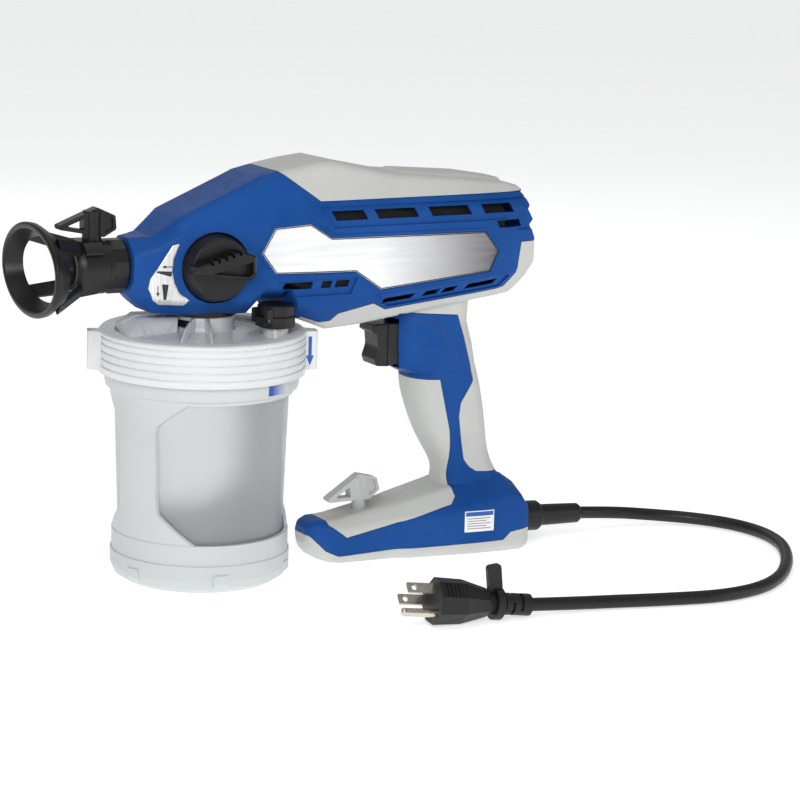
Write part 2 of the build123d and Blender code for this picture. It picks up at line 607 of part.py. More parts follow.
def gear_blank(teeth, length):
    """Straight-flanked gear with working backlash, axis along X, first tooth along +Z."""
    pitch_r = MODULE * teeth / 2
    tip_r = pitch_r + 0.85 * MODULE
    root_r = pitch_r - 1.15 * MODULE
    step = 2 * math.pi / teeth
    points = []
    for k in range(teeth):
        centre = k * step
        for half, radius in ((-0.27, root_r), (-0.115, tip_r), (0.115, tip_r), (0.27, root_r)):
            a = centre + half * step
            points.append((radius * math.cos(a), radius * math.sin(a)))
    face = make_face(Polyline(*points, close=True))
    return Rot(0, 90, 0) * Rot(0, 0, 180) * extrude(face, amount=length)


def drive():
    """Motor, rotor, fan, gear pair and the swash plate that works the piston."""
    can = rod_x(97, 150, 0, MOTOR_Z, MOTOR_R) - rod_x(98.5, 148.5, 0, MOTOR_Z, MOTOR_R - 1.6)
    can -= rod_x(90, 160, 0, MOTOR_Z, 4.0)
    save(can, "motor_can")
    races = []
    for x0 in (93.4, 150.2):
        races.append(rod_x(x0, x0 + 3.4, 0, MOTOR_Z, 6.5) - rod_x(x0 - 1, x0 + 5, 0, MOTOR_Z, 2.05))
    save(Compound(children=races), "motor_bearings")
    save(rod_x(GEAR_X0 - 1.0, 170.0, 0, MOTOR_Z, 2.0), "motor_shaft")
    core = rod_x(106, 136, 0, MOTOR_Z, 17.0)
    for k in range(8):
        core -= Pos(121, 0, MOTOR_Z) * Rot(45 * k, 0, 0) * Pos(0, 0, 14.5) * Box(31, 3.0, 6.0)
    core += rod_x(136, 144, 0, MOTOR_Z, 7.0)
    save(core - rod_x(100, 150, 0, MOTOR_Z, 2.0), "armature")
    fan = rod_x(156, 168, 0, MOTOR_Z, 6.0)
    for k in range(9):
        fan += Pos(162, 0, MOTOR_Z) * Rot(40 * k, 0, 0) * Pos(0, 0, 11.5) * Rot(0, 0, 30) * Box(9, 1.6, 15)
    save(fan - rod_x(150, 175, 0, MOTOR_Z, 2.0), "cooling_fan")
    pinion = gear_blank(PINION_TEETH, GEAR_X1 - GEAR_X0)
    pinion = Pos(GEAR_X0, 0, MOTOR_Z) * Rot(180 / PINION_TEETH, 0, 0) * pinion - rod_x(80, 95, 0, MOTOR_Z, 2.0)
    save(pinion, "pinion")
    gear = Pos(GEAR_X0 + 0.4, 0, GEAR_Z) * Rot(180, 0, 0) * gear_blank(GEAR_TEETH, GEAR_X1 - GEAR_X0 - 0.8)
    save(gear - rod_x(80, 95, 0, GEAR_Z, 3.0), "drive_gear")
    save(rod_x(60.2, 95.2, 0, GEAR_Z, 3.0), "gear_shaft")
    swash = rod_x(66.0, 84.0, 0, GEAR_Z, SWASH_R)
    swash &= Pos(75.0, 0, GEAR_Z) * Rot(0, -SWASH_TILT, 0) * Box(12.6, 60, 60)
    save(swash - rod_x(60, 90, 0, GEAR_Z, 3.0), "swash_plate")
    plate = block(95.4, 96.8, -26, 26, 160.5, 224) & hull_along_x(BODY, inset=WALL + 0.4)
    plate -= rod_x(90, 100, 0, MOTOR_Z, 6.55)
    plate -= rod_x(90, 100, 0, GEAR_Z, 3.05)
    save(biggest(plate), "gear_plate")
    board = block(100, 150, -16, 16, 216.0, 217.6)
    for x, y, h in ((108, -8, 7), (118, 6, 9), (130, -5, 5), (141, 7, 8)):
        board += block(x, x + 7, y - 4, y + 4, 217.6, 217.6 + h * 0.8)
    save(board, "control_board")


# ---- trigger and wiring -----------------------------------------------------------------
def trigger():
    """Finger trigger that slides back into the handle, its return spring and its switch."""
    line = [
        (108.1, 143.0), (107.5, 138.6), (111.1, 136.6), (111.9, 129.0), (109.5, 121.6), (111.1, 117.6),
        (118.5, 117.0), (126.5, 118.6), (126.5, 143.0),
    ]
    face = make_face(FilletPolyline(*line, radius=[1.0, 1.4, 1.6, 6.0, 1.8, 1.6, 3.0, 0.8, 0.8], close=True))
    plane = Plane(origin=(0, TRIGGER_HALF, 0), x_dir=(1, 0, 0), z_dir=(0, -1, 0))
    body = extrude(plane * face, amount=2 * TRIGGER_HALF)
    edges = [e for e in body.edges() if abs(abs(e.center().Y) - TRIGGER_HALF) < 0.01 and e.center().X < 114]
    body = fillet(edges, 0.9)
    for y in (-TRIGGER_HALF, TRIGGER_HALF):
        body -= block(117.4, 118.4, y - 0.6, y + 0.6, 110, 150)
    body -= rod_x(119.2, 127, 0, 130, 4.0)
    save(biggest(body), "trigger")
    path = Helix(pitch=2.0, height=12.0, radius=2.9)
    start = Plane(origin=path @ 0, z_dir=path % 0)
    spring = sweep(start * Circle(0.4), path=path)
    save(Pos(119.8, 0, 130) * Rot(0, 90, 0) * spring, "trigger_spring")
    switch = block(134.0, 150.0, -8.0, 8.0, 118.0, 140.0) + rod_x(132.6, 134.5, 0, 130, 2.2)
    save(switch, "trigger_switch")


def wiring():
    """Two-core lead from the strain relief up the handle to the switch and the board."""
    points = [
        (204.0, 0, 13.5), (187.0, 0, 16.5), (177.0, 0, 30.0), (175.0, 0, 55.0), (171.0, 0, 78.0), (159.0, 0, 98.0),
        (153.8, 0, 118.0), (153.4, 0, 140.0), (153.4, 13.0, 158.0), (153.4, 17.0, 180.0), (153.4, 14.0, 203.0),
        (152.3, 8.0, 216.8),
    ]
    line = FilletPolyline(*points, radius=tangent_radii(points, 0.4))
    start = Plane(origin=line @ 0, z_dir=line % 0)
    save(sweep(start * Circle(2.0), path=line), "wire_harness")


def tangent_radii(points, share):
    """Largest smooth arc at each inner point of a route, from its two runs."""
    radii = []
    for k in range(1, len(points) - 1):
        a = Vector(*points[k]) - Vector(*points[k - 1])
        b = Vector(*points[k + 1]) - Vector(*points[k])
        half = math.radians(a.get_angle(b)) / 2
        radii.append(share * min(a.length, b.length) / math.tan(half))
    return radii


# ---- cup --------------------------------------------------------------------------------
def cup_support():
    """Rigid outer cup: foot, two tall legs and a threaded top ring."""
    foot = turned([
        (0, 0), (45.0, 0), (50.4, 3.6), (52.2, 8.0), (CUP_R, 9.0), (CUP_R, 17.0), (51.7, 17.6), (51.7, CUP_SILL_Z),
        (49.2, CUP_SILL_Z), (49.0, 9.0), (44.0, 4.4), (0, 4.4),
    ])
    wall = turned([
        (51.3, CUP_SILL_Z - 2), (53.4, CUP_RING_Z - 2), (51.3, CUP_RING_Z - 2), (49.2, CUP_SILL_Z - 2),
    ])
    leg = [
        (-34.0, 24.0), (-34.0, CUP_SILL_Z), (-16.0, 46.0), (-15.0, 50.0), (-15.0, 94.0), (-16.5, 98.0),
        (-35.0, CUP_RING_Z), (-35.0, 116.0),
    ]
    outline = leg + [(-x, z) for x, z in reversed(leg)]
    mask = make_face(Polyline(*outline, close=True))
    mask = extrude(Plane(origin=(-80, 0, 0), x_dir=(0, 1, 0), z_dir=(1, 0, 0)) * mask, amount=160)
    ring = turned([
        (51.4, CUP_RING_Z - 2), (53.4, CUP_RING_Z - 2), (54.0, 112.4), (56.0, 114.0), (56.6, 117.0), (56.6, 121.4),
        (56.3, 121.8), (56.3, 126.4), (51.9, 126.4), (51.6, CUP_RING_Z),
    ])
    cup = foot + (wall & (Rot(0, 0, LEG_ANGLE) * mask)) + ring
    for k in range(6):
        boss = Rot(0, 0, LEG_ANGLE + 60 * k) * (Pos(51.4, 0, 7.4) * Box(4.0, 9.0, 9.0))
        cup += boss & turned([(0, 3.0), (49.6, 3.0), (53.2, 7.0), (53.2, 11.9), (0, 11.9)])
    save(biggest(cup), "cup_support")


def cup_liner():
    """Thin flexible liner that holds the paint."""
    save(turned([
        (0, 5.0), (43.0, 5.0), (48.2, 9.6), (48.5, 40.0), (50.9, 112.0), (51.3, 126.6), (54.6, 126.6), (54.6, 127.3),
        (50.5, 127.3), (50.1, 112.0), (47.7, 40.0), (47.4, 10.2), (42.6, 5.8), (0, 5.8),
    ]), "cup_liner")


def lid():
    """Translucent lid with its neck, grip fins, front spout wing and vent stub."""
    shell = turned([
        (55.0, 127.5), (55.0, 130.2), (50.2, 130.2), (50.0, 141.0), (46.5, 144.2), (20.0, 146.9), (18.2, 147.4),
        (18.0, 155.3), (17.0, 155.3), (16.9, 145.0), (45.5, 142.3), (47.8, 140.0), (48.2, 127.5),
    ])
    wing = make_face(Polyline((-17.6, 145.5), (-17.6, 155.0), (-40.0, 155.0), (-49.0, 149.0), (-49.4, 143.0), close=True))
    plane = Plane(origin=(0, 12.0, 0), x_dir=(1, 0, 0), z_dir=(0, -1, 0))
    wing = extrude(plane * wing, amount=24.0)
    hollow = make_face(Polyline((-10.0, 140.0), (-10.0, 153.6), (-39.4, 153.6), (-47.0, 148.4), (-47.4, 140.0), close=True))
    wing -= extrude(Plane(origin=(0, 10.6, 0), x_dir=(1, 0, 0), z_dir=(0, -1, 0)) * hollow, amount=21.2)
    wing -= rod_z(130, 160, 0, 0, 17.4)
    shell += Rot(0, 0, -12) * wing - turned([(0, 120), (46.6, 120), (46.6, 143.0), (0, 145.5)])
    for turn in (228, 252):
        fin = make_face(Polyline((17.2, 145.4), (17.2, 155.2), (24.0, 154.6), (35.0, 151.6), (43.0, 144.0), close=True))
        fin = extrude(Plane(origin=(0, 0.8, 0), x_dir=(1, 0, 0), z_dir=(0, -1, 0)) * fin, amount=1.6)
        shell += Rot(0, 0, turn) * fin
    shell += rod_z(142.5, 150.0, CAP_X, CAP_Y, 7.3)
    shell -= rod_z(140, 152, CAP_X, CAP_Y, 6.2)
    for turn in (22, 202):
        window = Rot(0, 0, turn) * block(15.0, 20.0, -5.5, 5.5, 148.6, 153.4)
        shell -= window
    save(biggest(shell), "cup_lid")
    save(turned([(15.6, 145.8), (16.6, 145.8), (16.6, 148.2), (15.6, 148.2)]), "lid_gasket")
    strainer = turned([(4.0, 129.0), (9.0, 129.0), (11.0, 131.0), (11.0, 147.9), (6.0, 147.9), (6.0, 133.0), (4.0, 133.0)])
    for k in range(8):
        strainer -= Rot(0, 0, 45 * k) * block(5, 13, -2.2, 2.2, 134.5, 144.0)
    save(strainer, "inlet_strainer")


def vent_cap():
    """Vent fitting on the lid, with a flip cap hinged at its front."""
    body = turned([
        (6.0, 150.2), (10.4, 150.2), (CAP_R, 150.9), (CAP_R, 156.4), (10.0, 156.9), (10.0, 158.4), (6.0, 158.4),
    ])
    stub = turned([(4.2, 144.0), (6.0, 144.0), (6.0, 150.3), (6.2, 150.3), (6.2, 158.2), (4.2, 158.2)])
    fitting = body + stub
    knuckle = block(-13.6, -10.2, -3.6, 3.6, 152.0, 156.8)
    fitting += Rot(0, 0, 20) * (knuckle - rod_y(-5, 5, HINGE_X, HINGE_Z, 1.05))
    save(Pos(CAP_X, CAP_Y, 0) * biggest(fitting), "vent_fitting")
    cap = turned([(0, 158.8), (10.1, 158.8), (10.1, 157.3), (CAP_R, 157.3), (CAP_R, 162.4), (10.2, 163.2), (0, 163.2)])
    ears = block(-13.9, -9.4, 3.9, 6.4, 153.8, 161.8) + block(-13.9, -9.4, -6.4, -3.9, 153.8, 161.8)
    ears -= turned([(0, 150), (CAP_R + 0.3, 150), (CAP_R + 0.3, 157.1), (0, 157.1)])
    cap += Rot(0, 0, 20) * (ears - rod_y(-8, 8, HINGE_X, HINGE_Z, 1.05))
    save(Pos(CAP_X, CAP_Y, 0) * biggest(cap), "vent_cap")
    pin = Rot(0, 0, 20) * rod_y(-6.4, 6.4, HINGE_X, HINGE_Z, 1.0)
    save(Pos(CAP_X, CAP_Y, 0) * pin, "vent_pin")


def locking_collar():
    """Ribbed clamping collar with two grip tabs."""
    collar = turned([
        (57.3, COLLAR_Z0), (COLLAR_R, COLLAR_Z0), (COLLAR_R, 145.4), (59.0, COLLAR_Z1), (51.4, COLLAR_Z1),
        (50.8, 146.0), (50.8, 144.6), (57.3, 144.0), (57.3, 133.0), (52.4, 132.6), (52.4, 130.8), (57.3, 130.8),
    ])
    for z in (126.0, 130.4, 134.8, 139.2, 143.0):
        collar -= turned([(59.4, z), (61.0, z), (61.0, z + 1.1), (59.4, z + 1.1)])
    for turn in (160.0, 339.0):
        tab = make_face(Polyline((-9.0, 57.8), (-4.0, 66.6), (5.0, 66.6), (5.8, 57.8), close=True))
        tab = Rot(0, 0, turn - 90) * extrude(tab, amount=22.6)
        tab = Pos(0, 0, 123.0) * tab
        tab = chamfer(tab.edges().filter_by(Axis.Z), 0.8)
        collar += tab
    save(biggest(collar), "locking_collar")


# ---- cord and plug ----------------------------------------------------------------------
def strain_relief():
    """Stepped rubber sleeve in the rear of the base."""
    sleeve = turned_x([
        (205.0, 4.0), (205.0, 8.0), (211.5, 8.0), (211.5, 9.4), (232.0, 9.4), (233.5, 8.4), (233.5, 6.8),
        (262.5, 6.2), (264.0, 5.2), (264.0, 0), (205.0, 0),
    ], z=13.5)
    tilt = Pos(211.5, 0, 13.5) * Rot(0, 2.5, 0) * Pos(-211.5, 0, -13.5)
    sleeve = tilt * sleeve
    for x in (241.0, 252.0):
        sleeve -= Pos(x, 0, 12.0) * Box(2.4, 1.6, 16.0)
    save(biggest(sleeve), "strain_relief")


def power_cord():
    """The cord's tube: straight runs joined by tangent arcs."""
    radii = tangent_radii(CORD_ROUTE, 0.45)
    line = FilletPolyline(*CORD_ROUTE, radius=radii)
    start = Plane(origin=line @ 0, z_dir=line % 0)
    tube = sweep(start * Circle(CORD_R), path=line)
    print("cord bend radii", [round(r, 1) for r in radii])
    print("cord length", round(line.length, 1), "volume ratio", tube.volume / (math.pi * CORD_R ** 2 * line.length))
    save(tube, "power_cord")


def plug_place():
    """From the plug's own frame (blades along +X, centre of the face at 0) to its place."""
    return Pos(*PLUG_FACE) * Rot(0, 0, PLUG_TURN) * Rot(0, -PLUG_PITCH, 0) * Rot(PLUG_ROLL, 0, 0)


def plug():
    """Moulded three-pin plug with blades, ground pin, boot and hanging tab."""
    place = plug_place()
    faces = []
    for x, wide, high, low in ((0.0, 12.6, 11.0, 12.2), (-17.0, 11.8, 10.6, 11.2), (-33.0, 7.2, 7.2, 7.2)):
        pts = [
            (wide, high * 0.45), (wide * 0.6, high), (-wide * 0.6, high), (-wide, high * 0.45),
            (-wide, -low * 0.4), (-wide * 0.45, -low), (wide * 0.45, -low), (wide, -low * 0.4),
        ]
        plane = Plane(origin=(x, 0, 0), x_dir=(0, 1, 0), z_dir=(1, 0, 0))
        faces.append(plane * make_face(Polyline(*pts, close=True)))
    body = loft(faces, ruled=True)
    boot = Pos(-46.5, 0, 0) * Rot(0, 90, 0) * Cylinder(BOOT_R, 27.5)
    for k, x in enumerate((-43.0, -48.4, -53.8)):
        notch = Pos(x, 0, 0) * (Rot(0, 90, 0) * (Cylinder(8.0, 2.0) - Cylinder(5.0, 2.0)))
        notch -= Pos(x, 0, 0) * Rot(90 * (k % 2), 0, 0) * Box(3, 4.6, 20)
        boot -= notch
    body += boot
    for k in range(6):
        for side in (-1, 1):
            body -= Pos(-4.0 - 2.4 * k, side * 12.4, 0) * Box(1.1, 1.6, 9.0)
    save(place * biggest(body), "plug_body")
    pins = []
    for y in (-6.35, 6.35):
        blade = Pos(8.8, y, 4.0) * Box(17.6, 1.5, 6.4)
        blade = chamfer([e for e in blade.edges() if e.center().X > 17.5], 0.5)
        pins.append(blade - Pos(13.4, y, 4.0) * Rot(90, 0, 0) * Cylinder(1.6, 4.0))
    ground = Pos(10.4, 0, -7.9) * Rot(0, 90, 0) * Cylinder(2.4, 20.8)
    pins.append(fillet([e for e in ground.edges() if e.center().X > 20.0], 1.6))
    save(Compound(children=[place * p for p in pins]), "plug_prongs")
    ring = place * (Pos(STRAP_X, 0, 0) * Rot(0, 90, 0) * (Cylinder(9.2, 4.6) - Cylinder(BOOT_R + 0.1, 5.0)))
    centre = (place * Pos(STRAP_X, 0, 0)).position
    paddle = RectangleRounded(8.6, 16.0, 2.2)
    paddle = extrude(Plane.XZ * Pos(0, 15.0) * paddle, amount=1.5, both=True)
    paddle = Pos(centre.X, centre.Y, centre.Z) * Rot(0, 0, PLUG_TURN) * Rot(0, 6.0, 0) * paddle
    save(ring + paddle, "plug_strap")


def fasteners():
    """Screws that hold the two shells together, heads on the right."""
    screws = []
    for x, z in SCREWS:
        drop = screw_drop(z)
        screws.append(rod_y(-10, 20 - drop, x, z, 1.9) + rod_y(18.2 - drop, 20 - drop, x, z, 3.2))
    save(Compound(children=screws), "shell_screws")


if __name__ == "__main__":
    os.makedirs("parts", exist_ok=True)
    housing()
    outlet()
    guard_nut()
    tip_guard()
    spray_tips()
    prime_knob()
    pump()
    drive()
    trigger()
    wiring()
    cup_support()
    cup_liner()
    lid()
    vent_cap()
    locking_collar()
    strain_relief()
    power_cord()
    plug()
    fasteners()
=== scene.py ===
import math

import bmesh
import bpy
from mathutils import Matrix, Vector
from mathutils.bvhtree import BVHTree


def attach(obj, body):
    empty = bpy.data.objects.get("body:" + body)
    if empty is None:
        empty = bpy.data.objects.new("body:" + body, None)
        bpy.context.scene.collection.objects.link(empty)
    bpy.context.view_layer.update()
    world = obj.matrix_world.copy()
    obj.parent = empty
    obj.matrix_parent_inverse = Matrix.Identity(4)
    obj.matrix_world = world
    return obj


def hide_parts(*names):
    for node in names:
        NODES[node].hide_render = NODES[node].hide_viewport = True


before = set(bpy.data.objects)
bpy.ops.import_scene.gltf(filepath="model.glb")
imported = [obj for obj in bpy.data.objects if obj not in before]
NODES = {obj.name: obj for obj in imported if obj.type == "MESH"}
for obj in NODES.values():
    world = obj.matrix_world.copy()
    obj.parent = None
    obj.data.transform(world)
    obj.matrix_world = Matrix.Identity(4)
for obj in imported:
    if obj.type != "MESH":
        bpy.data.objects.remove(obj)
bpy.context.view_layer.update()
MM = 0.001

# ---- colours (linear) --------------------------------------------------------------------
BLUE = (0.007, 0.066, 0.275)
# painted shade: a darker copy of the housing blue, for the lines along the handle panel's edge and the base's fold
BLUE_PAINTED_SHADE = (0.006, 0.036, 0.150)
WARM_GREY = (0.53, 0.535, 0.51)
BLACK = (0.007, 0.007, 0.0075)
SUPPORT_GREY = (0.62, 0.645, 0.645)


# ---- node helpers ------------------------------------------------------------------------
class Mat:
    """A material under construction: a principled shader and short calls that add nodes to it."""

    def __init__(self, name):
        self.mat = bpy.data.materials.new(name)
        self.mat.use_nodes = True
        self.tree = self.mat.node_tree
        self.tree.nodes.clear()
        self.out = self.node("ShaderNodeOutputMaterial")
        self.shader = self.node("ShaderNodeBsdfPrincipled")
        self.join(self.shader.outputs["BSDF"], self.out.inputs["Surface"])
        self.coord = self.node("ShaderNodeTexCoord").outputs["Object"]

    def node(self, kind, **values):
        n = self.tree.nodes.new(kind)
        for key, value in values.items():
            setattr(n, key, value)
        return n

    def join(self, a, b):
        self.tree.links.new(a, b)

    def set(self, **values):
        for key, value in values.items():
            self.shader.inputs[key.replace("_", " ")].default_value = value
        return self

    def noise(self, scale, detail=4.0, rough=0.55, stretch=None):
        n = self.node("ShaderNodeTexNoise")
        n.inputs["Scale"].default_value = scale
        n.inputs["Detail"].default_value = detail
        n.inputs["Roughness"].default_value = rough
        source = self.coord
        if stretch:
            m = self.node("ShaderNodeMapping")
            m.inputs["Scale"].default_value = stretch
            self.join(self.coord, m.inputs["Vector"])
            source = m.outputs["Vector"]
        self.join(source, n.inputs["Vector"])
        return n.outputs["Fac"]

    def ramp(self, fac, stops):
        """stops: (position, colour or value) pairs."""
        r = self.node("ShaderNodeValToRGB")
        while len(r.color_ramp.elements) < len(stops):
            r.color_ramp.elements.new(0.5)
        for element, (place, colour) in zip(r.color_ramp.elements, stops):
            element.position = place
            element.color = (*colour, 1.0) if isinstance(colour, tuple) else (colour, colour, colour, 1.0)
        self.join(fac, r.inputs["Fac"])
        return r.outputs["Color"]

    def mix(self, fac, a, b, blend="MIX"):
        m = self.node("ShaderNodeMix", data_type="RGBA", blend_type=blend)
        for socket, value in ((m.inputs[0], fac), (m.inputs[6], a), (m.inputs[7], b)):
            if hasattr(value, "links"):
                self.join(value, socket)
            elif isinstance(value, tuple):
                socket.default_value = (*value, 1.0)
            else:
                socket.default_value = value
        return m.outputs[2]

    def math(self, operation, a, b=None):
        m = self.node("ShaderNodeMath", operation=operation)
        for socket, value in zip(m.inputs, (a, b)):
            if value is None:
                continue
            if hasattr(value, "links"):
                self.join(value, socket)
            else:
                socket.default_value = value
        return m.outputs[0]

    def axis(self, name):
        s = self.node("ShaderNodeSeparateXYZ")
        self.join(self.coord, s.inputs[0])
        return s.outputs[name]

    def span(self, value, low, high):
        """0 at low, 1 at high, clamped."""
        m = self.node("ShaderNodeMapRange")
        self.join(value, m.inputs["Value"])
        m.inputs["From Min"].default_value = low
        m.inputs["From Max"].default_value = high
        return m.outputs["Result"]

    def edges(self, radius):
        """1 along convex and concave edges within radius, 0 on flat faces."""
        bevel = self.node("ShaderNodeBevel", samples=4)
        bevel.inputs["Radius"].default_value = radius
        geometry = self.node("ShaderNodeNewGeometry")
        dot = self.node("ShaderNodeVectorMath", operation="DOT_PRODUCT")
        self.join(bevel.outputs["Normal"], dot.inputs[0])
        self.join(geometry.outputs["Normal"], dot.inputs[1])
        return self.span(dot.outputs["Value"], 0.995, 0.90)

    def bump(self, height, strength, distance=0.0003):
        b = self.node("ShaderNodeBump")
        b.inputs["Strength"].default_value = strength
        b.inputs["Distance"].default_value = distance
        self.join(height, b.inputs["Height"])
        self.join(b.outputs["Normal"], self.shader.inputs["Normal"])

    def colour(self, value):
        self.join(value, self.shader.inputs["Base Color"])

    def roughness(self, fac, low, high):
        m = self.node("ShaderNodeMapRange")
        self.join(fac, m.inputs["Value"])
        m.inputs["From Min"].default_value = 0.3
        m.inputs["From Max"].default_value = 0.7
        m.inputs["To Min"].default_value = low
        m.inputs["To Max"].default_value = high
        self.join(m.outputs["Result"], self.shader.inputs["Roughness"])


GRAIN_SCALE = 2600.0
DUST_SHARE = 0.02


def moulded(name, base, rough, grain=0.35, wear=0.10, shade=0.12, gloss=0.5):
    """Injection-moulded plastic: slow colour drift, spark-eroded grain, paler rubbed edges, dust."""
    m = Mat(name)
    cloud = m.noise(22.0, 3.0)
    fine = m.noise(GRAIN_SCALE, 2.0, 0.6)
    scuff = m.noise(140.0, 6.0, 0.7, stretch=(1.0, 1.0, 3.0))
    dark = tuple(c * (1.0 - shade) for c in base)
    light = tuple(min(1.0, c * (1.0 + shade) + 0.004) for c in base)
    body = m.mix(m.span(cloud, 0.35, 0.65), dark, light)
    rubbed = tuple(min(1.0, c * 1.5 + 0.035) for c in base)
    worn = m.math("MULTIPLY", m.edges(0.0006), m.span(scuff, 0.42, 0.66))
    body = m.mix(m.math("MULTIPLY", worn, wear), body, rubbed)
    dust = m.math("MULTIPLY", m.span(m.noise(60.0, 5.0, 0.7), 0.55, 0.8), DUST_SHARE)
    body = m.mix(dust, body, (0.62, 0.61, 0.58))
    m.colour(body)
    m.roughness(scuff, rough - 0.06, rough + 0.07)
    m.bump(fine, grain, 0.00008)
    m.set(IOR=1.49, Specular_IOR_Level=gloss)
    return m.mat


def metal(name, base, rough, brush=(1.0, 60.0, 1.0), bump=0.15):
    """Turned or drawn metal: streaks along the tool marks and small stains."""
    m = Mat(name)
    streak = m.noise(260.0, 4.0, 0.6, stretch=brush)
    stain = m.noise(90.0, 5.0, 0.6)
    dark = tuple(c * 0.72 for c in base)
    body = m.mix(m.span(streak, 0.35, 0.65), dark, base)
    body = m.mix(m.math("MULTIPLY", m.span(stain, 0.55, 0.75), 0.35), body, tuple(c * 0.5 for c in base))
    m.colour(body)
    m.roughness(streak, rough - 0.08, rough + 0.10)
    m.bump(streak, bump, 0.00005)
    m.set(Metallic=1.0, IOR=2.4)
    return m.mat


def milky(name, tint, through, rough, ripple=0.2, haze=0.1):
    """Translucent moulded polyethylene: light passes through it, scattered."""
    m = Mat(name)
    cloud = m.noise(38.0, 4.0)
    flow = m.noise(70.0, 3.0, 0.5, stretch=(1.0, 1.0, 0.25))
    dark = tuple(c * (1.0 - haze) for c in tint)
    m.colour(m.mix(m.span(cloud, 0.3, 0.7), dark, tint))
    m.roughness(flow, rough - 0.06, rough + 0.08)
    m.bump(m.mix(0.4, m.noise(900.0, 2.0), flow), ripple, 0.00012)
    m.set(IOR=1.42, Transmission_Weight=through, Coat_Weight=0.15, Coat_Roughness=0.2)
    return m.mat


def rubbery(name, base, rough):
    """Soft black PVC with a fine matt skin, faint dust and flow marks."""
    m = Mat(name)
    skin = m.noise(3200.0, 2.0, 0.6)
    flow = m.noise(180.0, 5.0, 0.6, stretch=(3.0, 1.0, 1.0))
    light = tuple(c * 1.6 + 0.003 for c in base)
    m.colour(m.mix(m.span(flow, 0.4, 0.75), base, light))
    m.roughness(flow, rough - 0.07, rough + 0.1)
    m.bump(skin, 0.3, 0.00006)
    m.set(IOR=1.5, Specular_IOR_Level=0.38)
    return m.mat


def badge_material(name):
    """White-to-graphite brushed metal plate."""
    m = Mat(name)
    fade = m.span(m.axis("X"), 0.098, 0.178)
    streak = m.noise(500.0, 4.0, 0.6, stretch=(0.04, 1.0, 1.0))
    body = m.ramp(fade, [(0.0, (0.86, 0.87, 0.88)), (0.45, (0.52, 0.52, 0.53)), (1.0, (0.075, 0.07, 0.075))])
    body = m.mix(m.math("MULTIPLY", m.span(streak, 0.4, 0.62), 0.16), body, (0.40, 0.40, 0.41))
    m.colour(body)
    m.join(m.math("MULTIPLY", fade, 0.75), m.shader.inputs["Metallic"])
    m.roughness(streak, 0.26, 0.38)
    m.bump(streak, 0.08, 0.00004)
    m.set(Coat_Weight=0.4, Coat_Roughness=0.12)
    return m.mat


def label_material(name):
    """Fine brushed aluminium foil label under clear film."""
    m = Mat(name)
    streak = m.noise(900.0, 3.0, 0.6, stretch=(1.0, 1.0, 0.05))
    m.colour(m.mix(m.span(streak, 0.35, 0.65), (0.60, 0.60, 0.60), (0.80, 0.80, 0.80)))
    m.roughness(streak, 0.28, 0.4)
    m.bump(streak, 0.1, 0.00004)
    m.set(Metallic=0.45, Coat_Weight=0.3, Coat_Roughness=0.15)
    return m.mat


def ink(name, base, rough=0.4):
    """Printed ink with slightly uneven cover."""
    m = Mat(name)
    light = tuple(min(1.0, c * 1.25 + 0.003) for c in base)
    m.colour(m.mix(m.span(m.noise(700.0, 4.0), 0.3, 0.7), base, light))
    m.roughness(m.noise(300.0), rough - 0.05, rough + 0.05)
    return m.mat


def fading_ink(name, low, high):
    """Blue print that fades into the grey of the cup along X."""
    m = Mat(name)
    grain = m.noise(900.0, 3.0)
    fade = m.span(m.axis("X"), low, high)
    blue = m.mix(m.span(grain, 0.3, 0.7), (0.010, 0.055, 0.36), (0.014, 0.075, 0.42))
    m.colour(m.mix(fade, blue, SUPPORT_GREY))
    m.roughness(grain, 0.36, 0.46)
    return m.mat


